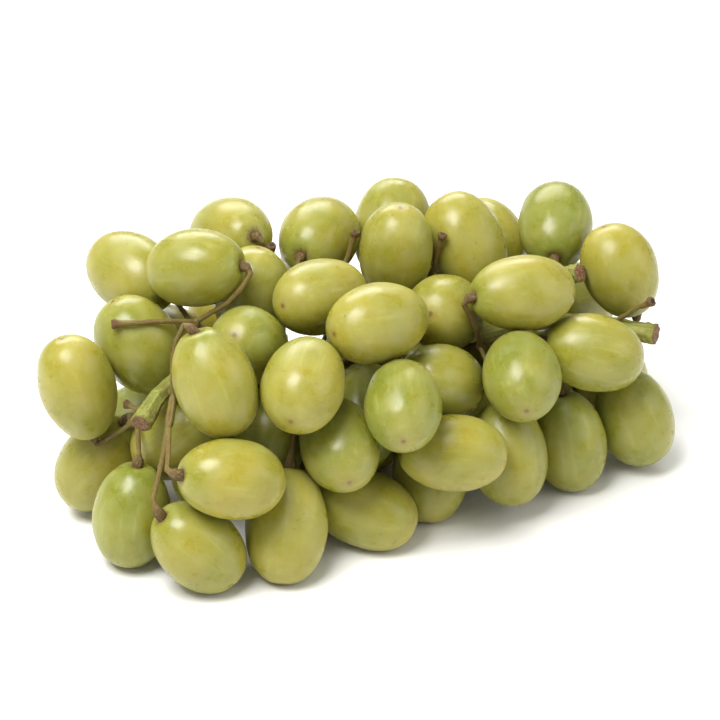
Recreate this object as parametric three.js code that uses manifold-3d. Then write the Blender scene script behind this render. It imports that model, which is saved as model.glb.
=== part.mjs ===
// A cut bunch of large, oval, seedless white grapes, lying on a flat surface.
//
// The bunch is one branched stem and the grapes that hang on it. The main stem runs along X through the
// middle of the heap and shows a cut end at both ends. Side shoots leave it, and each shoot ends in the thin
// stalks of a few grapes. Every grape has a place and a direction in the list below. The heap is then
// settled: grapes push each other and the stem apart until they only just touch, and the surface flattens
// the lowest ones a little.
//
// Millimetres, +Z up. The origin is on the surface, under the middle of the bunch.

import * as THREE from "three";
import { mergeVertices } from "three/addons/utils/BufferGeometryUtils.js";
import Module from "manifold-3d";

// Heap: how far the middles of the outermost grapes lie apart before they settle
const HEAP_LENGTH = 146;
const HEAP_WIDTH = 70;
const HEAP_HEIGHT = 54;

// Grapes
const GRAPE_LENGTH = 29.5; // from the stalk to the tip
const GRAPE_WIDTH = 21.5;
const LENGTH_SPREAD = 0.07; // how much longer or shorter one grape is than another, as a share
const WIDTH_SPREAD = 0.042;
const BLUNTNESS = 0.9; // 1 is an ellipsoid, less is blunter at both ends
const STALK_END_TAPER = 0.035; // how much slimmer a grape is on its stalk's side, as a share
const SINK = 0.6; // how far a grape on the surface is flattened

// Stem
const MAIN_RADIUS = 2.6;
const STUB_RADIUS = 2.3; // of a shoulder that was cut off
const SHOOT_RADIUS = 1.25;
const STALK_RADIUS = 0.8;
const CUFF_RADIUS = 1.75; // the wide end of a stalk, where it meets its grape
const CUFF_LENGTH = 2.2;
const BARE_RADIUS = 1.3; // the knob at the end of a stalk that has lost its grape
const STALK_LEAD = 3.4; // how far a stalk runs straight out of its grape

// Gaps
const GAP = 0.3; // between a grape and the stem
const STALK_BERTH = 0.8; // between a grape and the points that a stalk runs through, as it bows between
const CUFF_GAP = 0.4; // between the flat end of a cuff and the grape's end
const GRAPE_GAP = 0.5; // between two grapes, which settle as rows of balls that stay just inside them

// Facets
const GRAPE_BANDS = 8;
const GRAPE_SIDES = 9;
const LIMB_SIDES = 5;
const MAIN_SIDES = 7;
const RING_SPACING = 2.5; // the least distance between two rings of a limb, in radii

// Places in the heap are shares of its half length and half width, and of its height above the lowest
// grapes' middles. This is the main stem's route from one cut end to the other.
const MAIN_ROUTE = [
  [-0.97, -0.4, 0.6],
  [-0.88, -0.24, 0.64],
  [-0.76, -0.05, 0.65],
  [-0.56, 0.1, 0.57],
  [-0.27, 0.1, 0.47],
  [0.07, 0.08, 0.42],
  [0.4, 0.05, 0.43],
  [0.67, -0.05, 0.49],
  [0.85, -0.34, 0.53],
  [0.98, -0.62, 0.55],
  [1.08, -0.88, 0.55],
];

// The stub of a shoulder that was cut off. It leaves the main stem at one of its route's places.
const STUB_ROUTE = [
  [0.67, -0.05, 0.49],
  [0.73, 0, 0.6],
  [0.8, -0.15, 0.73],
  [0.86, -0.43, 0.85],
];

// Each shoot leaves the main stem at a share of its length. Each of its grapes has its middle's place in the
// heap, and then the direction from there to its stalk. A bare end is where a stalk without a grape ends.
const SHOOTS = [
  {
    at: 0.07,
    grapes: [
      [-0.96, 0.16, 0.64, 3, -2, -8],
      [-0.99, 0.32, 0.13, 4, -3, 8],
      [-0.97, -0.37, 0.11, 3, 2, 9],
    ],
    bareEnds: [[-0.94, 0.05, 0.55]],
  },
  {
    at: 0.11,
    grapes: [
      [-0.8, 0.29, 0.8, 3, -4, -7],
      [-0.69, 0.05, 0.39, 4, 0, 8],
    ],
  },
  {
    at: 0.14,
    grapes: [
      [-0.71, -0.58, 0.82, -3, 5, 7],
      [-0.73, -1, 0.4, -9, 1, 3],
      [-0.81, -0.95, 0.07, -7, 2, 6],
    ],
  },
  {
    at: 0.2,
    grapes: [
      [-0.73, 0.87, 0.89, 1, -9, 0],
      [-0.56, 0.26, 1.02, 5, -6, 1],
      [-0.61, 0.95, 0.49, 5, -6, 2],
    ],
    bareEnds: [[-0.94, 0.25, 0.94]],
  },
  {
    at: 0.25,
    grapes: [
      [-0.76, 0.89, 0.04, 4, -4, 6],
      [-0.44, -0.11, 0.76, 3, 3, -6],
      [-0.44, -0.24, 0.39, 4, 7, 6],
      [-0.63, -0.05, 0.02, 3, 1, 9],
    ],
  },
  {
    at: 0.29,
    grapes: [
      [-0.41, -0.84, 0.7, 6, 6, 2],
      [-0.27, -0.87, 0.3, 3, 8, 3],
      [-0.51, -0.95, 0.04, 4, 2, 8],
    ],
  },
  {
    at: 0.34,
    grapes: [
      [-0.27, 1, 0.94, 0, -9, 3],
      [-0.27, 1, 0.47, 3, -8, 1],
      [-0.41, 0.95, 0.04, 3, -5, 7],
      [-0.24, 0.5, 0.85, -2, -3, -7],
    ],
    bareEnds: [[-0.2, 0.63, 1.03]],
  },
  {
    at: 0.4,
    grapes: [
      [-0.19, -0.08, 0.9, 9, 2, -1],
      [-0.2, -0.95, 0.01, -6, 3, 6],
      [-0.27, 0, 0.02, 2, 1, 9],
    ],
  },
  {
    at: 0.44,
    grapes: [
      [-0.09, -0.61, 0.89, 9, 2, -1],
      [-0.13, -0.97, 0.58, 5, 7, 3],
      [-0.01, -0.39, 0.37, 3, 8, 4],
    ],
  },
  {
    at: 0.48,
    grapes: [
      [0.07, 0.84, 0.89, -6, -5, 1],
      [-0.05, 0.92, 0.04, 1, -5, 7],
      [0.11, 1, 0.47, 1, -8, 1],
    ],
    bareEnds: [[0.11, 0.43, 1.07]],
  },
  {
    at: 0.52,
    grapes: [
      [0.28, 0.16, 0.87, 2, -2, -8],
      [0.21, 0.47, 0.42, 2, -8, 3],
      [0.15, -1, 0.37, -8, 3, 1],
      [0.08, 0.08, 0.02, 1, 1, 9],
    ],
  },
  {
    at: 0.56,
    grapes: [
      [0.39, 0.79, 0.82, -3, -4, -6],
      [0.29, 0.95, 0.06, 1, -5, 7],
      [0.47, 1, 0.42, -1, -8, 1],
    ],
    bareEnds: [[0.42, 0.18, 1.03]],
  },
  {
    at: 0.6,
    grapes: [
      [0.33, -0.24, 0.71, 4, 6, -2],
      [0.2, -0.71, 0.56, 6, 5, -1],
      [0.12, -0.82, 0.04, 3, 4, 7],
    ],
  },
  {
    at: 0.64,
    grapes: [
      [0.52, -0.55, 0.82, -9, 2, 0],
      [0.43, -0.97, 0.56, 3, 8, 2],
      [0.41, -0.95, 0.14, 1, 3, 9],
    ],
  },
  {
    at: 0.69,
    grapes: [
      [0.53, 0.39, 0.8, 2, -4, -7],
      [0.64, 0.92, 0.04, 0, -5, 7],
      [0.45, 0, 0.02, 1, 0, 9],
    ],
  },
  {
    at: 0.73,
    grapes: [
      [0.75, 0.68, 0.64, -2, -8, -2],
      [0.81, 0.87, 0.28, -3, -7, 4],
      [0.63, 0.34, 0.33, -1, -6, 6],
      [0.95, 0.29, 0.8, -4, -7, -3],
    ],
  },
  {
    at: 0.77,
    grapes: [
      [0.76, -0.89, 0.52, -9, 4, 2],
      [0.67, -0.95, 0.07, -1, 2, 9],
    ],
  },
  {
    at: 0.83,
    grapes: [
      [1.01, -0.45, 0.73, 1, -3, -8],
      [0.97, 0.21, 0.4, -6, -4, 5],
      [0.76, 0.11, 0.04, 1, 0, 9],
    ],
  },
  {
    at: 0.88,
    grapes: [
      [0.93, -0.89, 0.09, -2, 3, 9],
      [0.99, 0.37, 0.02, -3, -4, 7],
      [1.01, -0.26, 0.06, -2, -1, 9],
    ],
    bareEnds: [[1.04, -0.93, 0.78]],
  },
];

// Settling
const LOOSE_ROUNDS = 420; // while the grapes are still drawn to their places
const MOST_ROUNDS = 2400;
const HOMING = 0.05; // how much of the way home a grape goes in the first round
const STEM_YIELD = 0.75; // how much of the way a free stem point goes when it and a grape part
const STEM_PULL = 0.3; // how much of the way to its neighbours' middle a free stem point goes
const LEAST_LOOSENESS = 0.15; // of the stem, once the grapes aren't drawn any more
const SETTLED = 0.06; // the overlap of two balls that may be left

const GREEN_SKIN = new THREE.Color(0x9fae3f);
const GOLDEN_SKIN = new THREE.Color(0xc2b95a);
const STEM_BARK = new THREE.MeshStandardMaterial({
  color: 0x8a7d4e,
  roughness: 0.75,
});

const wasm = await Module();
wasm.setup();

// A repeatable number from -1 to 1 for the nth grape, different for each use.
function spread(n, use) {
  const wave = Math.sin(n * 12.9898 + use * 78.233) * 43758.5453;
  return 2 * (wave - Math.floor(wave)) - 1;
}

// ---- Solids ----------------------------------------------------------------------------------------

function solidOf(geometry, matrix = new THREE.Matrix4()) {
  const bare = new THREE.BufferGeometry();
  bare.setAttribute("position", geometry.getAttribute("position").clone());
  bare.setIndex(geometry.index.clone());
  const merged = mergeVertices(bare.applyMatrix4(matrix), 1e-3);
  return new wasm.Manifold(
    new wasm.Mesh({
      numProp: 3,
      vertProperties: merged.attributes.position.array,
      triVerts: new Uint32Array(merged.index.array),
    }),
  );
}

function geometryOf(solid) {
  const mesh = solid.getMesh();
  const geometry = new THREE.BufferGeometry();
  const corners = new THREE.BufferAttribute(mesh.vertProperties, 3);
  geometry.setAttribute("position", corners);
  geometry.setIndex(new THREE.BufferAttribute(mesh.triVerts, 1));
  geometry.computeVertexNormals();
  return geometry;
}

// ---- Grapes ----------------------------------------------------------------------------------------

// A grape's outline from its tip to its stalk's end, as distances from its axis and along it.
function outline(length, width, bands) {
  const points = [];
  for (let i = 0; i <= bands; i++) {
    const turn = (Math.PI * i) / bands;
    const along = (-length / 2) * Math.cos(turn);
    const onAxis = i === 0 || i === bands;
    const roundness = onAxis ? 0 : Math.sin(turn) ** BLUNTNESS;
    const taper = 1 + STALK_END_TAPER * Math.cos(turn);
    points.push(new THREE.Vector2((width / 2) * roundness * taper, along));
  }
  return points;
}

// A row of balls that fills a grape, and one that keeps the way clear for its stalk.
function ballsIn(length, width) {
  const edge = outline(length, width, 60);
  const farthest = (length - width) / 2 + 0.15 * width;
  const balls = [-1, -2 / 3, -1 / 3, 0, 1 / 3, 2 / 3, 1].map((share) => {
    const middle = new THREE.Vector2(0, share * farthest);
    const radius = Math.min(...edge.map((point) => point.distanceTo(middle)));
    return { along: middle.y, radius, floor: radius - SINK };
  });
  balls.push({
    along: length / 2 + 0.6 * STALK_LEAD,
    radius: CUFF_RADIUS,
    floor: CUFF_RADIUS + GAP,
  });
  return balls;
}

function placeInHeap([along, across, up]) {
  return new THREE.Vector3(
    (along * HEAP_LENGTH) / 2,
    (across * HEAP_WIDTH) / 2,
    GRAPE_WIDTH / 2 - SINK + up * HEAP_HEIGHT,
  );
}

// A grape that can move is a stiff line from its back, near the tip, to its front, near the stalk.
function makeGrape(numbers, n) {
  const length = GRAPE_LENGTH * (1 + LENGTH_SPREAD * spread(n, 1));
  const width = GRAPE_WIDTH * (1 + WIDTH_SPREAD * spread(n, 2));
  const middle = placeInHeap(numbers);
  const direction = new THREE.Vector3(...numbers.slice(3)).normalize();
  const half = length / 4;
  const front = middle.clone().addScaledVector(direction, half);
  const back = middle.clone().addScaledVector(direction, -half);
  const balls = ballsIn(length, width);
  for (const ball of balls) ball.centre = new THREE.Vector3();
  const home = { front: front.clone(), back: back.clone() };
  const grape = { length, width, half, balls, front, back, home, middle };
  straighten(grape);
  return grape;
}

// Gives a grape's line its length back, and puts its middle and its balls where they belong on it.
function straighten(grape) {
  const { front, back, half, middle, balls } = grape;
  middle.lerpVectors(front, back, 0.5);
  const direction = front.clone().sub(back).normalize();
  front.copy(middle).addScaledVector(direction, half);
  back.copy(middle).addScaledVector(direction, -half);
  for (const ball of balls) {
    ball.centre.copy(middle).addScaledVector(direction, ball.along);
  }
}

const directionOf = (grape) => grape.front.clone().sub(grape.back).normalize();

const alongGrape = (grape, distance) =>
  grape.middle.clone().addScaledVector(directionOf(grape), distance);

// ---- Stem layout -----------------------------------------------------------------------------------

// A stem point is fixed, free, or held by its grape at the end of the stalk's straight lead.
function stemPoint(place, radius, free) {
  return { place: place.clone(), radius, free, neighbours: [] };
}

function footOf(grape) {
  const foot = stemPoint(new THREE.Vector3(), STALK_RADIUS, false);
  foot.grape = grape;
  followGrape(foot);
  return foot;
}

function followGrape(foot) {
  foot.place.copy(alongGrape(foot.grape, foot.grape.length / 2 + STALK_LEAD));
}

// A row from one stem point to another through free ones. Each pair pulls together with the given strength.
function chain(from, to, count, radius, strength) {
  const row = [from];
  for (let i = 1; i <= count; i++) {
    const place = from.place.clone().lerp(to.place, i / (count + 1));
    row.push(stemPoint(place, radius, true));
  }
  row.push(to);
  for (let i = 1; i < row.length; i++) {
    row[i - 1].neighbours.push([row[i], strength]);
    row[i].neighbours.push([row[i - 1], strength]);
  }
  return row;
}

// A shoot reaches from its root towards its stalks' feet and gives off the stalks one by one, nearest first.
function layOutShoot(root, ends) {
  const distance = (foot) => foot.place.distanceTo(root.place);
  const feet = ends.sort((a, b) => distance(a) - distance(b));
  const spine = [root];
  const stalks = [];
  feet.slice(0, -1).forEach((foot, i) => {
    const beyond = feet.slice(i);
    const target = new THREE.Vector3();
    for (const { place } of beyond) {
      target.addScaledVector(place, 1 / beyond.length);
    }
    const hub = spine.at(-1);
    const place = hub.place.clone().lerp(target, 0.5);
    const next = stemPoint(place, SHOOT_RADIUS, true);
    spine.push(...chain(hub, next, i === 0 ? 3 : 1, SHOOT_RADIUS, 2.4).slice(1));
    stalks.push(chain(next, foot, 3, STALK_RADIUS, 1));
  });
  stalks.push(chain(spine.at(-1), feet.at(-1), 3, STALK_RADIUS, 1));
  return { spine, stalks };
}

// ---- Settling --------------------------------------------------------------------------------------

// Farther apart than this, two grapes can't touch, nor can a grape and a stem point.
const REACH =
  GRAPE_LENGTH * (1 + LENGTH_SPREAD) + 2 * (STALK_LEAD + CUFF_RADIUS);

// Moves one ball of a grape, by moving the two ends of the grape's line.
function shift(grape, ball, move) {
  const atFront = 0.5 + ball.along / (4 * grape.half);
  const atBack = 1 - atFront;
  const scale = 1 / (atFront * atFront + atBack * atBack);
  grape.front.addScaledVector(move, atFront * scale);
  grape.back.addScaledVector(move, atBack * scale);
  straighten(grape);
}

// The two balls, one of each row, that overlap most, counting a gap between them as part of them.
function deepestPair(balls, others, gap) {
  let found = { depth: 0 };
  for (const ball of balls) {
    for (const other of others) {
      const wanted = ball.radius + other.radius + gap;
      const depth = wanted - ball.centre.distanceTo(other.centre);
      if (depth > found.depth) found = { depth, ball, other };
    }
  }
  return found;
}

// Pushes two grapes apart where they overlap most. Returns that overlap.
function partGrapes(one, two) {
  if (one.middle.distanceTo(two.middle) > REACH) return 0;
  const { depth, ball, other } = deepestPair(one.balls, two.balls, GRAPE_GAP);
  if (depth > 0) {
    const move = ball.centre.clone().sub(other.centre).setLength(depth / 2);
    shift(one, ball, move);
    shift(two, other, move.negate());
  }
  return depth;
}

// Pushes a stem point and a grape apart where they overlap most. A point that isn't free stays.
function partFromStem(grape, point) {
  const { place, radius } = point;
  if (point.grape === grape) return 0;
  if (grape.middle.distanceTo(place) > REACH) return 0;
  const pointBall = { centre: place, radius };
  const { depth, ball } = deepestPair(grape.balls, [pointBall], STALK_BERTH);
  if (depth > 0) {
    const yielding = point.free ? STEM_YIELD : 0;
    const move = place.clone().sub(ball.centre).setLength(depth);
    place.addScaledVector(move, yielding);
    shift(grape, ball, move.multiplyScalar(yielding - 1));
  }
  return depth;
}

// Lifts a grape's lowest ball until it is sunk in the surface by no more than it may be.
function keepOnSurface(grape) {
  const [lowest] = [...grape.balls].sort(
    (a, b) => a.centre.z - a.floor - (b.centre.z - b.floor),
  );
  const lift = lowest.floor - lowest.centre.z;
  if (lift > 0) shift(grape, lowest, new THREE.Vector3(0, 0, lift));
}

// A free stem point moves towards the middle of its neighbours, so the stem pulls itself straight.
function tighten(point, amount) {
  const middle = new THREE.Vector3();
  let total = 0;
  for (const [neighbour, strength] of point.neighbours) {
    middle.addScaledVector(neighbour.place, strength);
    total += strength;
  }
  point.place.lerp(middle.divideScalar(total), amount);
  point.place.z = Math.max(point.place.z, point.radius + GAP);
}

function settle(grapes, points) {
  for (let round = 0; round < MOST_ROUNDS; round++) {
    const looseness = Math.max(0, 1 - round / LOOSE_ROUNDS);
    for (const grape of grapes) {
      grape.front.lerp(grape.home.front, HOMING * looseness);
      grape.back.lerp(grape.home.back, HOMING * looseness);
      straighten(grape);
    }
    let worst = 0;
    for (let i = 0; i < grapes.length; i++) {
      for (let j = i + 1; j < grapes.length; j++) {
        worst = Math.max(worst, partGrapes(grapes[i], grapes[j]));
      }
    }
    for (const point of points) {
      if (point.grape) followGrape(point);
      const pull = STEM_PULL * Math.max(looseness, LEAST_LOOSENESS);
      if (point.free) tighten(point, pull);
    }
    for (const grape of grapes) {
      for (const point of points) {
        worst = Math.max(worst, partFromStem(grape, point));
      }
      keepOnSurface(grape);
    }
    if (looseness === 0 && worst < SETTLED) return;
  }
}

// ---- Stem solids -----------------------------------------------------------------------------------

const curveThrough = (places) =>
  new THREE.CatmullRomCurve3(places, false, "centripetal");

// A closed limb along a curve through the places. thickness gives its radius at each share of its length.
// Its rings stay so far apart that they don't cross in a bend.
function limb(places, thickness, sides, mostSteps) {
  const curve = curveThrough(places);
  const room = Math.floor(curve.getLength() / (RING_SPACING * thickness(0)));
  const steps = THREE.MathUtils.clamp(room, 2, mostSteps);
  const { normals, binormals } = curve.computeFrenetFrames(steps, false);
  const corners = [];
  const faces = [];
  for (let i = 0; i <= steps; i++) {
    const radius = thickness(i / steps);
    for (let j = 0; j < sides; j++) {
      const turn = (2 * Math.PI * j) / sides;
      const corner = curve
        .getPointAt(i / steps)
        .addScaledVector(normals[i], radius * Math.cos(turn))
        .addScaledVector(binormals[i], radius * Math.sin(turn));
      corners.push(...corner.toArray());
      const a = i * sides + j;
      const b = i * sides + ((j + 1) % sides);
      if (i < steps) faces.push(a, b, a + sides, b, b + sides, a + sides);
    }
  }
  const start = corners.length / 3;
  const end = start + 1;
  const lastRing = steps * sides;
  corners.push(...places[0].toArray(), ...places.at(-1).toArray());
  for (let j = 0; j < sides; j++) {
    const next = (j + 1) % sides;
    faces.push(start, next, j, end, lastRing + j, lastRing + next);
  }
  const geometry = new THREE.BufferGeometry();
  geometry.setAttribute("position", new THREE.Float32BufferAttribute(corners, 3));
  geometry.setIndex(faces);
  return solidOf(geometry);
}

// A stalk, from inside its shoot to its bare end, or to the wide cuff that ends just short of its grape.
function stalkSolid(row) {
  const { grape } = row.at(-1);
  const [start, next] = row;
  const route = row.map((point) => point.place);
  route[0] = start.place.clone().lerp(next.place, -0.15);
  if (grape) {
    route.push(alongGrape(grape, grape.length / 2 + CUFF_LENGTH));
    route.push(alongGrape(grape, grape.length / 2 + CUFF_GAP));
  }
  const endRadius = grape ? CUFF_RADIUS : BARE_RADIUS;
  const thickness = (share) => (share === 1 ? endRadius : STALK_RADIUS);
  return limb(route, thickness, LIMB_SIDES, 5);
}

function shootSolid(spine) {
  const places = spine.map((point) => point.place);
  return limb(places, () => SHOOT_RADIUS, LIMB_SIDES, spine.length - 1);
}

function stemSolid(mainPlaces, stubPlaces, shoots, grapes) {
  const pieces = [
    limb(mainPlaces, () => MAIN_RADIUS, MAIN_SIDES, 16),
    limb(stubPlaces, () => STUB_RADIUS, MAIN_SIDES, 4),
  ];
  for (const { spine, stalks } of shoots) {
    pieces.push(shootSolid(spine));
    pieces.push(...stalks.map(stalkSolid));
  }
  const room = grapes.map((grape) => grapeSolid(grape, GAP));
  return wasm.Manifold.union(pieces).subtract(wasm.Manifold.union(room));
}

// ---- Grape solids ----------------------------------------------------------------------------------

// The matrix that puts +Y along a grape's axis, towards its stalk. +Z looks down, so that a row of corners,
// and not a flat side, is lowest.
function frameOf(grape) {
  const almostDown = new THREE.Vector3(0.001, 0, -1);
  const yAxis = directionOf(grape);
  const xAxis = yAxis.clone().cross(almostDown).normalize();
  const zAxis = xAxis.clone().cross(yAxis);
  return new THREE.Matrix4()
    .makeBasis(xAxis, yAxis, zAxis)
    .setPosition(grape.middle);
}

function grapeSolid(grape, margin) {
  const profile = outline(
    grape.length + 2 * margin,
    grape.width + 2 * margin,
    GRAPE_BANDS,
  );
  return solidOf(new THREE.LatheGeometry(profile, GRAPE_SIDES), frameOf(grape));
}

// ---- The bunch -------------------------------------------------------------------------------------

const mainPlaces = MAIN_ROUTE.map(placeInHeap);
const stubPlaces = STUB_ROUTE.map(placeInHeap);
const mainCurve = curveThrough(mainPlaces);

const grapes = [];
const shoots = SHOOTS.map((shoot) => {
  const own = shoot.grapes.map((numbers, i) =>
    makeGrape(numbers, grapes.length + i + 1),
  );
  grapes.push(...own);
  const bareEnds = (shoot.bareEnds ?? []).map((numbers) =>
    stemPoint(placeInHeap(numbers), BARE_RADIUS, false),
  );
  const root = stemPoint(mainCurve.getPointAt(shoot.at), SHOOT_RADIUS, false);
  return layOutShoot(root, [...own.map(footOf), ...bareEnds]);
});

const stemPoints = new Set();
for (const { spine, stalks } of shoots) {
  for (const point of [spine, ...stalks].flat()) stemPoints.add(point);
}
for (const [curve, radius] of [
  [mainCurve, MAIN_RADIUS],
  [curveThrough(stubPlaces), STUB_RADIUS],
]) {
  const count = Math.ceil(curve.getLength() / radius);
  for (const place of curve.getSpacedPoints(count)) {
    stemPoints.add(stemPoint(place, radius, false));
  }
}
settle(grapes, stemPoints);

const bunch = new THREE.Group();

const stem = new THREE.Mesh(
  geometryOf(stemSolid(mainPlaces, stubPlaces, shoots, grapes)),
  STEM_BARK,
);
stem.name = "stem";
bunch.add(stem);

const underSurface = solidOf(
  mergeVertices(
    new THREE.BoxGeometry(3 * HEAP_LENGTH, 3 * HEAP_LENGTH, GRAPE_WIDTH)
      .deleteAttribute("normal")
      .deleteAttribute("uv")
      .translate(0, 0, -GRAPE_WIDTH / 2),
  ),
);
grapes.forEach((grape, i) => {
  const frame = frameOf(grape);
  const rested = grapeSolid(grape, 0).subtract(underSurface);
  const skin = new THREE.MeshStandardMaterial({
    color: GREEN_SKIN.clone().lerp(GOLDEN_SKIN, 0.5 + 0.5 * spread(i, 3)),
    roughness: 0.4,
  });
  const geometry = geometryOf(rested).applyMatrix4(frame.clone().invert());
  const mesh = new THREE.Mesh(geometry, skin);
  mesh.name = `grape_${String(i + 1).padStart(2, "0")}`;
  frame.decompose(mesh.position, mesh.quaternion, mesh.scale);
  bunch.add(mesh);
});

// The bunch's middle goes over the origin.
const box = new THREE.Box3().setFromObject(bunch, true);
const middle = box.getCenter(new THREE.Vector3());
bunch.position.set(-middle.x, -middle.y, -box.min.z);

export default bunch;
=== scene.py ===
"""Looks for a cut bunch of white table grapes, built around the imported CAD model.

Each grape's CAD solid is replaced by a fine mesh with a dimple under its stalk, a scar at its tip and a skin
of its own tint. The faceted stem is replaced by a rounded, ridged, woody one with rough cuffs and cut faces.
Places and sizes are in metres, in the CAD frame, and MM is one millimetre. Patterns on the skin and bark, and
distances from a stalk, tip, cuff, bare end or cut in a material, are measured in millimetres.
"""

import math
from collections import namedtuple

import bmesh
import bpy
import numpy as np
from mathutils import Matrix, Vector, noise
from mathutils.bvhtree import BVHTree
from mathutils.kdtree import KDTree


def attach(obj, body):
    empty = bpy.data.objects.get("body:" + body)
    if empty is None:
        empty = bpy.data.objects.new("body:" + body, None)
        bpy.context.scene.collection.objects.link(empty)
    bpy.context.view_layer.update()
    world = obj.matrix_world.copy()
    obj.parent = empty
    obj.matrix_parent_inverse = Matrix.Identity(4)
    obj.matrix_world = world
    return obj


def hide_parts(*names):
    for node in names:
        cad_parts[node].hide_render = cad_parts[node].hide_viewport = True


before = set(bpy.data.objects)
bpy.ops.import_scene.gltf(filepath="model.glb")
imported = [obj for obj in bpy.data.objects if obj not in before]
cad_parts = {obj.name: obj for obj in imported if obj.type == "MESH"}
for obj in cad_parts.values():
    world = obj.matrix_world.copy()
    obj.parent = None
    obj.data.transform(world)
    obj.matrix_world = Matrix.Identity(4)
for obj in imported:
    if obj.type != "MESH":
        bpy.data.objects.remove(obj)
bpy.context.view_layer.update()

MM = 0.001
BODY = "root"
SAME_PLACE = 0.001 * MM  # corners nearer than this are one
PLACE_DIGITS = 7  # decimals to which corners are compared
SAME_WAY = 0.9999  # cosine between the normals of faces that lie in one plane
SEED_WAY = Vector((7.1, 3.7, 5.3))  # where a seed moves the noise that shapes a mesh

# Grapes
AROUND = 56  # faces round a grape
ALONG = 44  # faces from its tip to its stalk
BLUNTNESS = 0.9  # below 1, a grape is blunter than an ellipsoid
STALK_END_TAPER = 0.035
UNEVENNESS = 0.22 * MM
UNEVENNESS_SCALE = 1.6  # waves in a grape's radius
DIMPLE_DEPTH = 0.75 * MM
DIMPLE_RADIUS = 3.4 * MM
DIMPLE_STEEPNESS = 1.35
DIMPLE_RIM = 0.22  # height of the rim round a dimple, as a share of its depth
DIMPLE_RIM_PLACE = 1.25  # in dimple radii
DIMPLE_RIM_WIDTH = 0.4  # in dimple radii
SCAR_DEPTH = 0.16 * MM
SCAR_RADIUS = 0.8 * MM
SCAR_HOLLOW = 1.9  # of the skin round a scar, in scar radii
SCAR_BOSS = 1.1  # height of the scar itself, as a share of that hollow's depth
SCAR_BOSS_WIDTH = 0.7  # in scar radii
REST_SOFTNESS = 0.2 * MM  # how gently a grape's flat patch starts
PALEST_TINT = 0.25  # 0 is green and 1 is golden
DEEPEST_TINT = 0.85
FIRST_SEED = 100
SEED_SPACING = 40.0  # keeps each grape's patterns apart from the next one's

# Stem. Scales are in waves, or cells, per millimetre.
VOXEL = 0.385 * MM  # size of its faces
ROUNDING = 22  # rounds of smoothing, which take the CAD model's facets off
INWARD = 0.5  # each round's smoothing, as a share of the way to the neighbours' middle
OUTWARD = -0.52  # and its swelling back
THICKEST_LIMB = 8 * MM
SKIN_DEPTH = 0.05 * MM  # rays that measure a limb start this far under its surface
WART_HEIGHT = 0.16 * MM
WART_SCALE = 0.55
WART_WIDTH = 0.28
LUMP_SCALE = 1.3  # of the small lumps that roughen the whole stem
LUMP_SEED = 3.0
RIDGE_TURN = 2.2  # how quickly ridges follow one another round a limb
RIDGE_DRIFT = 0.06  # how quickly they change along it
RIDGE_SEED = 5.0
SWELLING_SCALE = 0.22
SWELLING_SEED = 9.0
LEAST_RELIEF_GIRTH = 1.2  # in mm: relief grows with a limb's girth between these two
MOST_RELIEF_GIRTH = 5.0
RIDGE_SHARE = 0.05  # of the girth
SWELLING_SHARE = 0.06
LUMP_HEIGHT = 0.04  # in mm

# Ends of the stem. Distances along an end are from its flat face, outward.
CUFF_SIDES = 5  # of the CAD model's cuffs
WIDEST_BARE_END = 1.5 * MM  # a wider flat end is a cuff, which faces a grape
WIDEST_CUFF = 2.0 * MM  # a wider one is a cut
CUFF_RADIUS = 2.4 * MM
CUFF_LENGTH = 4.0 * MM
CUFF_FRONT = 1.0 * MM  # room in front of its flat face
CUFF_FACE = (-0.9 * MM, -0.1 * MM)  # drawing out starts, and is full
CUFF_REACH = 1.25 * MM  # how far a cuff is drawn out, into its grape's dimple
CUFF_KNOB = 0.28 * MM
CUFF_KNOB_PLACE = -0.9 * MM
BARE_END_RADIUS = 2.2 * MM
BARE_END_LENGTH = 3.0 * MM
BARE_KNOB = 0.3 * MM
BARE_KNOB_PLACE = -0.5 * MM
KNOB_LENGTH = 0.9 * MM
KNOB_ROUGHNESS = 0.9
PIT_DEPTH = 0.6 * MM  # in a bare end
PIT_RADIUS = 0.65 * MM
PIT_FACE = (-0.5 * MM, -0.1 * MM)  # the pit starts, and is full
CUT_RADIUS = 3.2 * MM
CUT_FACE = (-0.9 * MM, -0.5 * MM)  # flattening starts, and is full
CUT_FACING = (0.35, 0.7)  # cosines to the cut's normal, likewise
CUT_SWELLING = 0.5 * MM  # of the stem where it was cut
CUT_SWELLING_REACH = (9.0 * MM, 2.5 * MM)  # distances at which it starts, and is full
CUT_SINK = 0.1 * MM  # how far a cut face lies behind the CAD model's
CUT_CALM = 0.8  # share of the relief that a cut face loses
WANDER = 0.8 * MM  # how far a bare stalk strays from the CAD model's
WANDER_SCALE = 0.12
WANDER_SEEDS = (11.0, 12.0, 13.0)
WANDER_NEAR = (2.0 * MM, 7.0 * MM)  # distances from its end at which it starts, and is full
WANDER_FAR = (16.0 * MM, 8.0 * MM)  # and at which it has stopped, and is still full

# Studio
FLOOR_HALF = 3.0
AIM = (0, 0, 40 * MM)  # where the lights point
WORLD_LIGHT = 0.46
SOFTBOXES = {
    "key": {"place": (-0.45, -0.15, 1.0), "width": 0.6, "height": 0.6, "power": 17.0},
    "fill": {"place": (0.9, -0.8, 0.6), "width": 0.8, "height": 0.8, "power": 4.0},
    "back": {"place": (0.3, 0.9, 0.7), "width": 0.9, "height": 0.5, "power": 9.0},
}

# Camera
AZIMUTH = math.radians(26.8)
ELEVATION = math.radians(30.0)
CAMERA_DISTANCE = 1.03
VIEW_HEIGHT = 30 * MM  # of the point that the camera's offsets start from
VIEW_RIGHT = 2.5 * MM
VIEW_ABOVE = 5.85 * MM
LENS = 185.0
SENSOR = 36.0
NEAREST = 0.01

Near = namedtuple("Near", "normal along off_axis distance")


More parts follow.
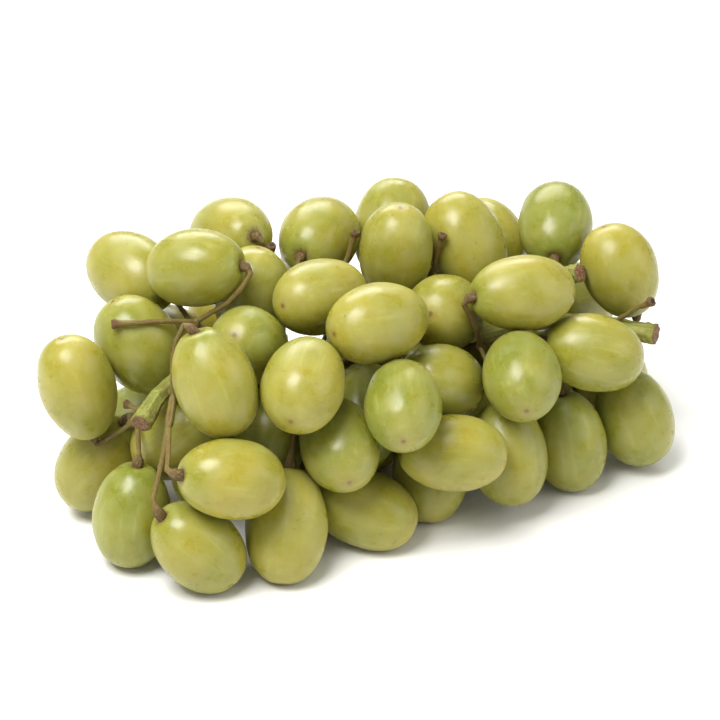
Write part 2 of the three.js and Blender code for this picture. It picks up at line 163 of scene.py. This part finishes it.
def srgb(red, green, blue):
    """A linear colour with alpha from 8-bit sRGB values."""
    linear = []
    for value in (red, green, blue):
        value /= 255
        linear.append(value / 12.92 if value <= 0.04045 else ((value + 0.055) / 1.055) ** 2.4)
    return (*linear, 1.0)


# Colours of a grape
GREEN_FLESH = srgb(120, 127, 38)
GOLDEN_FLESH = srgb(158, 147, 50)
STALK_END_FLESH = srgb(110, 124, 40)
TIP_FLESH = srgb(168, 152, 60)
VEIN = srgb(176, 176, 88)
PORE = srgb(104, 106, 34)
FRECKLE = srgb(112, 84, 40)
SCUFF = srgb(150, 116, 62)
BLOOM = srgb(200, 202, 152)
TIP_SCAR = srgb(84, 58, 34)
SCAR_RIM = srgb(150, 128, 66)
DRY_RING = srgb(122, 96, 50)

# Colours of the stem
GREEN_BARK = srgb(142, 148, 66)
TAN_BARK = srgb(126, 106, 54)
RIDGE = srgb(82, 64, 32)
FURROW = srgb(186, 178, 122)
SPECK = srgb(92, 66, 40)
CUFF = srgb(86, 64, 34)
WART = srgb(158, 132, 92)
BARE_END = srgb(96, 66, 42)
# painted shade: nearly black, for the pit in the middle of a bare end
PIT_SHADE = srgb(48, 30, 20)
FRESH_WOOD = srgb(150, 112, 80)
DARK_FIBRE = srgb(88, 58, 38)
CUT_RIM = srgb(92, 66, 42)
PITH = srgb(86, 58, 40)

# Colours of the surroundings
PAPER = srgb(236, 236, 234)
PALE_PAPER = srgb(240, 239, 237)
WHITE = (1.0, 1.0, 1.0, 1.0)


def smoothstep(low, high, values):
    share = np.clip((values - low) / (high - low), 0, 1)
    return share * share * (3 - 2 * share)


def bell(values):
    """1 where a value is 0, falling smoothly to 0 on both sides."""
    return np.exp(-(values**2))


# ---- Reading the CAD model ---------------------------------------------------------------------


def corners_of(node):
    """A CAD node's corners, without repeats, as an array in metres."""
    places = places_in(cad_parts[node].data)
    return np.unique(places.round(PLACE_DIGITS), axis=0)


def joined_mesh(node):
    """A bmesh of a CAD node whose faces share their corners."""
    joined = bmesh.new()
    joined.from_mesh(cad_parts[node].data)
    bmesh.ops.remove_doubles(joined, verts=joined.verts, dist=SAME_PLACE)
    return joined


def flat_ends(joined):
    """The stem's flat ends, as (middle, normal, radius).

    An end's middle is a corner whose faces all lie in one plane.
    """
    ends = []
    for corner in joined.verts:
        normals = [face.normal for face in corner.link_faces]
        if len(normals) < CUFF_SIDES or min(normals[0].dot(normal) for normal in normals) < SAME_WAY:
            continue
        radius = max(edge.calc_length() for edge in corner.link_edges)
        ends.append((corner.co.copy(), normals[0].copy(), radius))
    return ends


def measure_grapes(cuffs):
    """Each grape's middle, axis towards its stalk, length and width, from the cuff that faces it."""
    names = sorted(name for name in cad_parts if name.startswith("grape_"))
    corners = {name: corners_of(name) for name in names}
    labels = [name for name in names for _ in corners[name]]
    tree = KDTree(len(labels))
    for index, place in enumerate(np.concatenate([corners[name] for name in names])):
        tree.insert(place, index)
    tree.balance()
    grapes = {}
    for middle, normal, _ in cuffs:
        pole, index, _ = tree.find(middle)
        name = labels[index]
        axis = -normal
        offsets = corners[name] - np.array(pole)
        along = offsets @ np.array(axis)
        across = np.linalg.norm(offsets - np.outer(along, axis), axis=1)
        length = -along.min()
        grapes[name] = {
            "middle": pole - axis * length / 2,
            "axis": axis,
            "length": length,
            "width": 2 * across.max(),
        }
    missing = set(names) - set(grapes)
    if missing:
        raise RuntimeError(f"no cuff faces {sorted(missing)}")
    return grapes


# ---- Nodes -------------------------------------------------------------------------------------


class Nodes:
    """A short way to build one material's nodes."""

    def __init__(self, name):
        self.material = bpy.data.materials.new(name)
        self.material.use_nodes = True
        self.tree = self.material.node_tree
        self.shader = self.tree.nodes["Principled BSDF"]

    def set(self, node, values):
        for key, value in values.items():
            socket = node.inputs[key]
            if isinstance(value, bpy.types.NodeSocket):
                self.tree.links.new(value, socket)
            else:
                socket.default_value = value

    def add(self, kind, inputs=None, **settings):
        node = self.tree.nodes.new(kind)
        for key, value in settings.items():
            setattr(node, key, value)
        self.set(node, inputs or {})
        return node

    def number(self, name):
        return self.add("ShaderNodeAttribute", attribute_name=name).outputs["Fac"]

    def place(self, name):
        return self.add("ShaderNodeAttribute", attribute_name=name).outputs["Vector"]

    def math(self, operation, first, second):
        return self.add("ShaderNodeMath", {0: first, 1: second}, operation=operation).outputs[0]

    def plus(self, first, second):
        return self.math("ADD", first, second)

    def times(self, first, second):
        return self.math("MULTIPLY", first, second)

    def moved(self, place, offset):
        return self.add("ShaderNodeVectorMath", {0: place, 1: offset}, operation="ADD").outputs[0]

    def scaled(self, place, scales):
        inputs = {0: place, 1: scales}
        return self.add("ShaderNodeVectorMath", inputs, operation="MULTIPLY").outputs[0]

    def noise(self, place, scale, detail, roughness=0.5):
        inputs = {"Vector": place, "Scale": scale, "Detail": detail, "Roughness": roughness}
        return self.add("ShaderNodeTexNoise", inputs).outputs["Fac"]

    def cells(self, place, scale):
        """How far each place is from the middle of its cell, in cells."""
        inputs = {"Vector": place, "Scale": scale}
        return self.add("ShaderNodeTexVoronoi", inputs).outputs["Distance"]

    def ramp(self, value, low, high, to_low, to_high):
        """Goes smoothly from to_low to to_high while value goes from low to high."""
        inputs = {"Value": value, 1: low, 2: high, 3: to_low, 4: to_high}
        return self.add("ShaderNodeMapRange", inputs, interpolation_type="SMOOTHSTEP").outputs[0]

    def above(self, value, start, full, share):
        """0 below start, and share above full."""
        return self.ramp(value, start, full, 0.0, share)

    def within(self, value, full, end, share):
        """The share below full, and 0 above end."""
        return self.ramp(value, full, end, share, 0.0)

    def around_zero(self, value, low, high, down, up):
        """From -down below low to up above high."""
        return self.ramp(value, low, high, -down, up)

    def mix(self, share, first, second):
        node = self.add("ShaderNodeMix", data_type="RGBA")
        self.set(node, {0: share, 6: first, 7: second})
        return node.outputs[2]

    def bump(self, height, strength, distance):
        inputs = {"Height": height, "Strength": strength, "Distance": distance}
        return self.add("ShaderNodeBump", inputs).outputs[0]


# ---- Grape skin --------------------------------------------------------------------------------


def flesh_colour(skin, place, spread, own, from_stalk, from_tip):
    """Green to golden from grape to grape, and in soft patches within one, with pale veins."""
    patches = skin.noise(own, scale=0.07, detail=2.0)
    varied = skin.around_zero(patches, low=0.25, high=0.75, down=0.25, up=0.25)
    colour = skin.mix(skin.plus(skin.number("grape_tint"), varied), GREEN_FLESH, GOLDEN_FLESH)
    colour = skin.mix(skin.within(from_stalk, full=2.0, end=13.0, share=0.35), colour, STALK_END_FLESH)
    colour = skin.mix(skin.within(from_tip, full=0.5, end=8.0, share=0.3), colour, TIP_FLESH)

    # Veins run from the stalk to the tip, so their noise is stretched that way.
    stretched = skin.moved(skin.scaled(place, (1.0, 1.0, 0.12)), spread)
    veins = skin.noise(stretched, scale=0.55, detail=3.0, roughness=0.6)
    return skin.mix(skin.above(veins, start=0.5, full=0.72, share=0.3), colour, VEIN)


def marked_skin(skin, colour, own, pores):
    """Fine pores, a few russet freckles, and scuffs."""
    colour = skin.mix(skin.within(pores, full=0.1, end=0.2, share=0.35), colour, PORE)
    freckles = skin.cells(own, scale=0.19)
    colour = skin.mix(skin.within(freckles, full=0.03, end=0.07, share=0.75), colour, FRECKLE)
    scuffs = skin.noise(skin.scaled(own, (1.0, 1.0, 0.6)), scale=0.35, detail=5.0, roughness=0.7)
    return skin.mix(skin.above(scuffs, start=0.7, full=0.78, share=0.4), colour, SCUFF)


def skin_ends(skin, colour, own, from_stalk, from_tip):
    """A brown scar at the tip, and a dry, ragged ring round the stalk."""
    colour = skin.mix(skin.within(from_tip, full=0.45, end=0.95, share=0.95), colour, TIP_SCAR)
    colour = skin.mix(skin.within(from_tip, full=0.9, end=2.0, share=0.4), colour, SCAR_RIM)
    raggedness = skin.noise(own, scale=1.1, detail=3.0)
    ragged = skin.plus(from_stalk, skin.around_zero(raggedness, low=0.3, high=0.7, down=0.6, up=0.6))
    return skin.mix(skin.within(ragged, full=1.6, end=2.9, share=0.8), colour, DRY_RING)


def grape_skin():
    """Thin, faintly waxy skin over see-through flesh, placed by each grape's own attributes."""
    skin = Nodes("grape_skin")
    place = skin.place("grape_place")
    seed = skin.number("grape_seed")
    spread = skin.add("ShaderNodeCombineXYZ", {"X": seed, "Y": seed, "Z": seed}).outputs[0]
    own = skin.moved(place, spread)
    from_stalk = skin.number("from_stalk")
    from_tip = skin.number("from_tip")
    pores = skin.cells(own, scale=0.8)

    # The waxy bloom is a thin pale film, rubbed off in places.
    film = skin.noise(own, scale=0.16, detail=4.0, roughness=0.62)
    bloom = skin.above(film, start=0.3, full=0.74, share=1.0)
    colour = flesh_colour(skin, place, spread, own, from_stalk, from_tip)
    colour = marked_skin(skin, colour, own, pores)
    colour = skin.mix(skin.above(film, start=0.3, full=0.74, share=0.16), colour, BLOOM)
    colour = skin_ends(skin, colour, own, from_stalk, from_tip)

    # The film stands up a little, and the pores are pits.
    relief = skin.plus(skin.times(film, 0.5), skin.within(pores, full=0.0, end=0.22, share=-0.35))
    skin.set(
        skin.shader,
        {
            "Base Color": colour,
            "Roughness": skin.ramp(bloom, low=0.0, high=1.0, to_low=0.26, to_high=0.46),
            "Normal": skin.bump(relief, strength=0.35, distance=0.06 * MM),
            "IOR": 1.42,
            "Subsurface Weight": 0.75,
            "Subsurface Radius": (1.0, 0.82, 0.2),
            "Subsurface Scale": 5.0 * MM,
            "Coat Weight": 0.12,
            "Coat Roughness": 0.25,
        },
    )
    return skin.material


# ---- Stem bark ---------------------------------------------------------------------------------


def bark_colour(bark, place, patches, ridges, specks):
    """Green thick limbs and tan thin ones, with dark ridges, pale furrows and corky specks."""
    woodiness = bark.ramp(bark.number("wood_girth"), low=2.0, high=4.6, to_low=1.0, to_high=0.18)
    varied = bark.around_zero(patches, low=0.35, high=0.65, down=0.25, up=0.3)
    colour = bark.mix(bark.plus(woodiness, varied), GREEN_BARK, TAN_BARK)
    colour = bark.mix(bark.above(ridges, start=0.42, full=0.62, share=0.45), colour, RIDGE)
    colour = bark.mix(bark.within(ridges, full=0.3, end=0.44, share=0.35), colour, FURROW)
    return bark.mix(bark.within(specks, full=0.1, end=0.22, share=0.7), colour, SPECK)


def stalk_ends(bark, colour, patches, warts, from_cuff):
    """Cuffs are dark with pale warts, and bare ends dark, with nearly black painted shade in the pit."""
    ragged = bark.plus(from_cuff, bark.around_zero(patches, low=0.3, high=0.7, down=0.8, up=0.8))
    colour = bark.mix(bark.within(ragged, full=1.4, end=3.6, share=0.85), colour, CUFF)
    colour = bark.mix(warts, colour, WART)
    from_bare = bark.number("from_bare")
    colour = bark.mix(bark.within(from_bare, full=1.2, end=2.6, share=0.8), colour, BARE_END)
    # Painted shade: the pit in the middle of a bare end is painted nearly black.
    return bark.mix(bark.within(from_bare, full=0.5, end=0.95, share=0.9), colour, PIT_SHADE)


def cut_colour(bark, fibres):
    """Pinkish wood with dark fibres, and a darker rim and pith."""
    from_cut = bark.number("from_cut")
    colour = bark.mix(bark.above(fibres, start=0.38, full=0.62, share=1.0), FRESH_WOOD, DARK_FIBRE)
    colour = bark.mix(bark.above(from_cut, start=1.7, full=2.3, share=0.6), colour, CUT_RIM)
    return bark.mix(bark.within(from_cut, full=0.4, end=0.8, share=0.55), colour, PITH)


def stem_bark():
    """Green, ridged main stem and tan stalks, with dark rough cuffs and fresh cut faces."""
    bark = Nodes("stem_bark")
    place = bark.place("wood_place")
    from_cuff = bark.number("from_cuff")
    cut_face = bark.number("cut_face")
    patches = bark.noise(place, scale=0.12, detail=3.0)
    specks = bark.cells(place, scale=0.9)
    fibres = bark.noise(bark.scaled(place, (1.6, 1.6, 1.6)), scale=1.0, detail=4.0, roughness=0.7)

    # Ridges run along each limb: they follow the side that the surface faces, more than the place.
    facing = bark.scaled(bark.place("wood_side"), (5.0, 5.0, 5.0))
    wound = bark.moved(facing, bark.scaled(place, (0.1, 0.1, 0.1)))
    ridges = bark.noise(wound, scale=1.0, detail=3.0, roughness=0.65)

    # Warts stand only on and near the cuffs.
    warts = bark.within(bark.cells(place, scale=1.7), full=0.1, end=0.4, share=0.6)
    warts = bark.times(warts, bark.within(from_cuff, full=1.5, end=4.0, share=1.0))

    colour = bark_colour(bark, place, patches, ridges, specks)
    colour = stalk_ends(bark, colour, patches, warts, from_cuff)
    colour = bark.mix(cut_face, colour, cut_colour(bark, fibres))

    # Ridges, specks and warts stand up, and so do the fibres of a cut face.
    height = bark.plus(ridges, bark.within(specks, full=0.05, end=0.25, share=0.25))
    height = bark.plus(height, bark.times(warts, 0.8))
    height = bark.plus(height, bark.times(bark.times(fibres, cut_face), 1.2))
    bark.set(
        bark.shader,
        {
            "Base Color": colour,
            "Roughness": bark.ramp(ridges, low=0.3, high=0.7, to_low=0.55, to_high=0.85),
            "Specular IOR Level": 0.35,
            "Normal": bark.bump(height, strength=0.9, distance=0.3 * MM),
            "Subsurface Weight": 0.08,
            "Subsurface Radius": (1.0, 0.7, 0.3),
            "Subsurface Scale": 1.0 * MM,
        },
    )
    return bark.material


# ---- Meshes ------------------------------------------------------------------------------------


def places_in(mesh):
    places = np.empty(3 * len(mesh.vertices))
    mesh.vertices.foreach_get("co", places)
    return places.reshape(-1, 3)


def normals_in(mesh):
    normals = np.empty(3 * len(mesh.vertices))
    mesh.vertex_normals.foreach_get("vector", normals)
    return normals.reshape(-1, 3)


def put_places(mesh, places):
    mesh.vertices.foreach_set("co", places.ravel())
    mesh.update()


def shade_smooth(mesh):
    mesh.polygons.foreach_set("use_smooth", [True] * len(mesh.polygons))


def set_attributes(mesh, values):
    """Stores an array of numbers or of places for each name."""
    for name, array in values.items():
        kind, field = ("FLOAT_VECTOR", "vector") if array.ndim == 2 else ("FLOAT", "value")
        attribute = mesh.attributes.new(name, kind, "POINT")
        attribute.data.foreach_set(field, array.astype(np.float32).ravel())


def add_object(name, data):
    added = bpy.data.objects.new(name, data)
    bpy.context.scene.collection.objects.link(added)
    return added


def add_piece(name, mesh, material, node):
    mesh.materials.append(material)
    piece = add_object(name, mesh)
    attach(piece, BODY)
    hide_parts(node)


def lumps(places, scale, seed):
    """Smooth noise from about -1 to 1 at each place."""
    offset = seed * SEED_WAY
    return np.array([noise.noise(Vector(place) * scale + offset) for place in places])


def spots(places, scale):
    """1 in the middle of scattered round spots, and 0 between them."""
    distances = np.array([noise.voronoi(Vector(place) * scale)[0][0] for place in places])
    return bell(distances / WART_WIDTH)


# ---- Grapes ------------------------------------------------------------------------------------


def plain_grape(length, width):
    """A smooth grape's corners from its tip to its stalk in its own frame, with Z towards the stalk."""
    turn = math.pi * np.arange(1, ALONG) / ALONG
    around = 2 * math.pi * np.arange(AROUND) / AROUND
    radius = width / 2 * np.sin(turn) ** BLUNTNESS * (1 + STALK_END_TAPER * np.cos(turn))
    height = -length / 2 * np.cos(turn)
    grid = np.empty((ALONG - 1, AROUND, 3))
    grid[..., 0] = radius[:, None] * np.cos(around)
    grid[..., 1] = radius[:, None] * np.sin(around)
    grid[..., 2] = height[:, None]
    return np.concatenate([[[0, 0, -length / 2]], grid.reshape(-1, 3), [[0, 0, length / 2]]])


def real_grape(length, width, seed):
    """A grape's corners with its unevenness, its dimple under the stalk and its scar at the tip."""
    corners = plain_grape(length, width)
    outward = corners / np.linalg.norm(corners, axis=1)[:, None]
    corners += outward * (UNEVENNESS * lumps(outward, UNEVENNESS_SCALE, seed))[:, None]
    off_axis = np.hypot(corners[:, 0], corners[:, 1])
    upper = corners[:, 2] > 0

    # The skin sinks in under the stalk, behind a low rim.
    share = off_axis / DIMPLE_RADIUS
    rim = DIMPLE_RIM * bell((share - DIMPLE_RIM_PLACE) / DIMPLE_RIM_WIDTH)
    dimple = DIMPLE_DEPTH * (bell(DIMPLE_STEEPNESS * share) - rim)
    corners[upper, 2] -= dimple[upper]

    # It sinks in a little at the tip too, round the scar.
    share = off_axis / SCAR_RADIUS
    scar = SCAR_DEPTH * (bell(share / SCAR_HOLLOW) - SCAR_BOSS * bell(share / SCAR_BOSS_WIDTH))
    corners[~upper, 2] += scar[~upper]
    return corners


def grape_faces():
    """Quads between the rows, and triangles at both ends."""
    last = 1 + (ALONG - 1) * AROUND
    faces = []
    for side in range(AROUND):
        beside = (side + 1) % AROUND
        faces.append((0, 1 + beside, 1 + side))
        faces.append((last, last - AROUND + side, last - AROUND + beside))
        for row in range(1, last - AROUND, AROUND):
            faces.append((row + side, row + beside, row + AROUND + beside, row + AROUND + side))
    return faces


def rested(heights):
    """Heights that end softly at the surface that the bunch lies on."""
    return (heights + np.sqrt(heights**2 + REST_SOFTNESS**2)) / 2


def make_grape(name, grape, index, faces, material):
    local = real_grape(grape["length"], grape["width"], index)
    turn = grape["axis"].to_track_quat("Z", "Y").to_matrix()
    places = local @ np.array(turn).T + np.array(grape["middle"])
    places[:, 2] = rested(places[:, 2])
    mesh = bpy.data.meshes.new(name)
    mesh.from_pydata(places.tolist(), [], faces)
    shade_smooth(mesh)
    draws = np.random.default_rng(FIRST_SEED + index)
    stalk = np.array([0, 0, grape["length"] / 2])
    values = {
        "grape_place": local / MM,
        "from_tip": np.linalg.norm(local + stalk, axis=1) / MM,
        "from_stalk": np.linalg.norm(local - stalk, axis=1) / MM,
        "grape_tint": np.full(len(local), draws.uniform(PALEST_TINT, DEEPEST_TINT)),
        "grape_seed": np.full(len(local), SEED_SPACING * index),
    }
    set_attributes(mesh, values)
    add_piece(f"{name}_skin", mesh, material, name)


# ---- Stem --------------------------------------------------------------------------------------


def remeshed(joined):
    """A new mesh with even, small faces in place of the joined one."""
    mesh = bpy.data.meshes.new("rough")
    joined.to_mesh(mesh)
    rough = add_object("rough", mesh)
    remesh = rough.modifiers.new("remesh", "REMESH")
    remesh.mode = "VOXEL"
    remesh.voxel_size = VOXEL
    fine = bpy.data.meshes.new_from_object(rough.evaluated_get(bpy.context.evaluated_depsgraph_get()))
    bpy.data.objects.remove(rough)
    bpy.data.meshes.remove(mesh)
    return fine


def round_off(mesh):
    """Takes the facets off without shrinking thin limbs: each round smooths, then swells back."""
    edges = np.empty(2 * len(mesh.edges), int)
    mesh.edges.foreach_get("vertices", edges)
    first, second = edges.reshape(-1, 2).T
    places = places_in(mesh)
    count = np.bincount(edges, minlength=len(places))[:, None]
    for _ in range(ROUNDING):
        for amount in (INWARD, OUTWARD):
            total = np.zeros_like(places)
            for axis in range(3):
                total[:, axis] = np.bincount(first, places[second, axis], len(places))
                total[:, axis] += np.bincount(second, places[first, axis], len(places))
            places += amount * (total / count - places)
    put_places(mesh, places)


def thickness_in(mesh, places, normals):
    """How thick the limb is under each corner."""
    tree = BVHTree.FromPolygons(places.tolist(), [tuple(face.vertices) for face in mesh.polygons])
    found = []
    for place, normal in zip(places, normals):
        inward = Vector(-normal)
        hit = tree.ray_cast(Vector(place) + inward * SKIN_DEPTH, inward, THICKEST_LIMB)
        found.append(THICKEST_LIMB if hit[3] is None else hit[3])
    return np.array(found)


def near_ends(places, ends):
    """For each corner, its nearest end's normal, and how far it is along that, off it, and from the end."""
    tree = KDTree(len(ends))
    for index, end in enumerate(ends):
        tree.insert(end[0], index)
    tree.balance()
    nearest = np.array([tree.find(place)[1] for place in places])
    middles = np.array([end[0] for end in ends])[nearest]
    normals = np.array([end[1] for end in ends])[nearest]
    offset = places - middles
    along = (offset * normals).sum(axis=1)
    off_axis = np.linalg.norm(offset - along[:, None] * normals, axis=1)
    return Near(normals, along, off_axis, np.linalg.norm(offset, axis=1))


def knob_at(along, height, lump):
    """How far a rough knob, whose middle is where along is 0, stands out."""
    return height * bell(along / KNOB_LENGTH) * (1 + KNOB_ROUGHNESS * lump)


def cuff_shape(cuff, lump):
    """How far a cuff is drawn out into its dimple, and how far it swells into a knob."""
    inside = (cuff.off_axis < CUFF_RADIUS) & (cuff.along > -CUFF_LENGTH) & (cuff.along < CUFF_FRONT)
    drawn = CUFF_REACH * smoothstep(*CUFF_FACE, cuff.along)
    knob = knob_at(cuff.along - CUFF_KNOB_PLACE, CUFF_KNOB, lump)
    return drawn * inside, knob * inside


def bare_end_shape(end, lump):
    """How far a bare end swells into a knob, and how deep the pit in its middle is."""
    inside = (end.off_axis < BARE_END_RADIUS) & (end.along > -BARE_END_LENGTH)
    knob = knob_at(end.along - BARE_KNOB_PLACE, BARE_KNOB, lump)
    pit = PIT_DEPTH * bell(end.off_axis / PIT_RADIUS) * smoothstep(*PIT_FACE, end.along)
    return knob * inside, pit * inside


def bark_relief(places, normals, girth, lump):
    """Ridges along the limbs, slow swellings, small lumps and scattered warts."""
    ridges = lumps(normals * RIDGE_TURN + places / MM * RIDGE_DRIFT, 1.0, RIDGE_SEED)
    swelling = lumps(places / MM, SWELLING_SCALE, SWELLING_SEED)
    size = np.clip(girth / MM, LEAST_RELIEF_GIRTH, MOST_RELIEF_GIRTH)
    raised = MM * (size * (RIDGE_SHARE * ridges + SWELLING_SHARE * swelling) + LUMP_HEIGHT * lump)
    return raised + WART_HEIGHT * spots(places / MM, WART_SCALE)


def cut_swelling(cut, lump):
    """The stem is thicker where it was cut."""
    return CUT_SWELLING * smoothstep(*CUT_SWELLING_REACH, cut.distance) * (1 + lump / 2)


def cut_shape(cut, normals):
    """1 on a cut face and 0 off it, and the moves that keep the face flat."""
    facing = smoothstep(*CUT_FACING, (normals * cut.normal).sum(axis=1))
    cut_face = (cut.distance < CUT_RADIUS) * smoothstep(*CUT_FACE, cut.along) * facing
    return cut_face, cut.normal * (cut_face * (-CUT_SINK - cut.along))[:, None]


def stalk_wander(places, from_bare):
    """Bare stalks aren't quite straight between their root and their end."""
    ways = np.stack([lumps(places / MM, WANDER_SCALE, seed) for seed in WANDER_SEEDS], axis=1)
    stray = smoothstep(*WANDER_NEAR, from_bare) * smoothstep(*WANDER_FAR, from_bare)
    return WANDER * stray[:, None] * ways


def make_stem(joined, cuffs, bare_ends, cuts, material):
    mesh = remeshed(joined)
    round_off(mesh)
    places = places_in(mesh)
    normals = normals_in(mesh)
    girth = thickness_in(mesh, places, normals)
    cuff, bare_end, cut = (near_ends(places, ends) for ends in (cuffs, bare_ends, cuts))

    lump = lumps(places / MM, LUMP_SCALE, LUMP_SEED)
    drawn, cuff_knob = cuff_shape(cuff, lump)
    bare_knob, pit = bare_end_shape(bare_end, lump)
    cut_face, flattening = cut_shape(cut, normals)
    raised = bark_relief(places, normals, girth, lump) + cut_swelling(cut, lump) + cuff_knob + bare_knob
    moves = normals * (raised * (1 - CUT_CALM * cut_face))[:, None] + flattening
    moves += cuff.normal * drawn[:, None] - bare_end.normal * pit[:, None]
    put_places(mesh, places + moves + stalk_wander(places, bare_end.distance))

    shade_smooth(mesh)
    values = {
        "wood_place": places / MM,
        "wood_side": normals,
        "wood_girth": girth / MM,
        "from_cuff": cuff.distance / MM,
        "from_bare": bare_end.distance / MM,
        "from_cut": cut.distance / MM,
        "cut_face": cut_face,
    }
    set_attributes(mesh, values)
    add_piece("stem_wood", mesh, material, "stem")


# ---- Surroundings ------------------------------------------------------------------------------


def floor_paper():
    """Matte, very slightly uneven white paper."""
    paper = Nodes("floor_paper")
    place = paper.add("ShaderNodeTexCoord").outputs["Object"]
    fibre = paper.noise(place, scale=900.0, detail=4.0, roughness=0.6)
    clouds = paper.noise(place, scale=3.0, detail=2.0)
    colour = paper.mix(paper.above(clouds, start=0.3, full=0.7, share=1.0), PAPER, PALE_PAPER)
    bump = paper.bump(fibre, strength=0.08, distance=0.1 * MM)
    paper.set(paper.shader, {"Base Color": colour, "Roughness": 0.9, "Normal": bump})
    return paper.material


def make_floor():
    mesh = bpy.data.meshes.new("floor")
    corners = [(x * FLOOR_HALF, y * FLOOR_HALF, 0) for x, y in ((-1, -1), (1, -1), (1, 1), (-1, 1))]
    mesh.from_pydata(corners, [], [(0, 1, 2, 3)])
    mesh.materials.append(floor_paper())
    add_object("floor", mesh)


def add_softbox(name, place, width, height, power):
    light = bpy.data.lights.new(name, "AREA")
    light.shape = "RECTANGLE"
    light.size = width
    light.size_y = height
    light.energy = power
    lamp = add_object(name, light)
    lamp.location = place
    lamp.rotation_euler = (Vector(AIM) - Vector(place)).to_track_quat("-Z", "Y").to_euler()


def light_studio():
    for name, softbox in SOFTBOXES.items():
        add_softbox(name, **softbox)
    world = bpy.data.worlds.new("studio")
    world.use_nodes = True
    background = world.node_tree.nodes["Background"]
    background.inputs["Color"].default_value = WHITE
    background.inputs["Strength"].default_value = WORLD_LIGHT
    bpy.context.scene.world = world
    bpy.context.scene.view_settings.view_transform = "Standard"


def make_camera():
    """Looks down along the bunch from in front of its left end."""
    right = Vector((math.cos(AZIMUTH), -math.sin(AZIMUTH), 0))
    level = Vector((math.sin(AZIMUTH), math.cos(AZIMUTH), 0))
    ahead = level * math.cos(ELEVATION) - Vector((0, 0, math.sin(ELEVATION)))
    above = right.cross(ahead)
    target = Vector((0, 0, VIEW_HEIGHT)) + right * VIEW_RIGHT + above * VIEW_ABOVE
    data = bpy.data.cameras.new("camera")
    data.lens = LENS
    data.sensor_width = SENSOR
    data.clip_start = NEAREST
    camera = add_object("camera", data)
    turn = Matrix((right, above, -ahead)).transposed().to_4x4()
    camera.matrix_world = Matrix.Translation(target - ahead * CAMERA_DISTANCE) @ turn
    bpy.context.scene.camera = camera


# ---- The bunch ---------------------------------------------------------------------------------

joined_stem = joined_mesh("stem")
ends = flat_ends(joined_stem)
bare_ends = [end for end in ends if end[2] <= WIDEST_BARE_END]
cuffs = [end for end in ends if WIDEST_BARE_END < end[2] <= WIDEST_CUFF]
cuts = [end for end in ends if end[2] > WIDEST_CUFF]
skin_material = grape_skin()
faces = grape_faces()
for index, (name, grape) in enumerate(sorted(measure_grapes(cuffs).items())):
    make_grape(name, grape, index, faces, skin_material)
make_stem(joined_stem, cuffs, bare_ends, cuts, stem_bark())
joined_stem.free()

make_floor()
light_studio()
make_camera()
